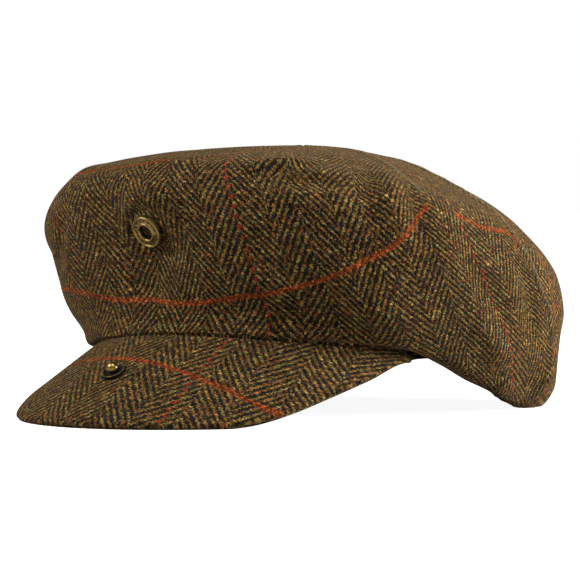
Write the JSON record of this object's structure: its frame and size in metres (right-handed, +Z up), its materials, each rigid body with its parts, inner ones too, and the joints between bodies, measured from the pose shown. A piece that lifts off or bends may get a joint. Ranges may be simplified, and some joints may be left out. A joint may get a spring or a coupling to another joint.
{
  "type": "flat cap",
  "caption": "Full flat cap of herringbone tweed with a stiff covered peak and a press stud left undone, so the hollow crown stands clear of the peak.",
  "frame": {"origin": "on the surface that the cap rests on, under the middle of its bounding box", "axes": "+Y towards the back of the head and -Y the way the peak points, +X to the wearer's left, +Z up from the surface to the top of the crown"},
  "size_m": [0.222, 0.2698, 0.117],
  "materials": {
    "crown": "herringbone wool tweed, ochre and rust on near-black, matt and slightly fuzzy",
    "peak": "herringbone wool tweed over a stiff board, matt and slightly fuzzy",
    "press_stud": "antique brass, darkened in the hollows and rubbed bright on the edges"
  },
  "bodies": {
    "root": {"crown": "crown", "peak": "peak", "snap_socket": "press_stud", "socket_rivet": "press_stud", "snap_stud": "press_stud", "stud_rivet": "press_stud"}
  },
  "joints": []
}
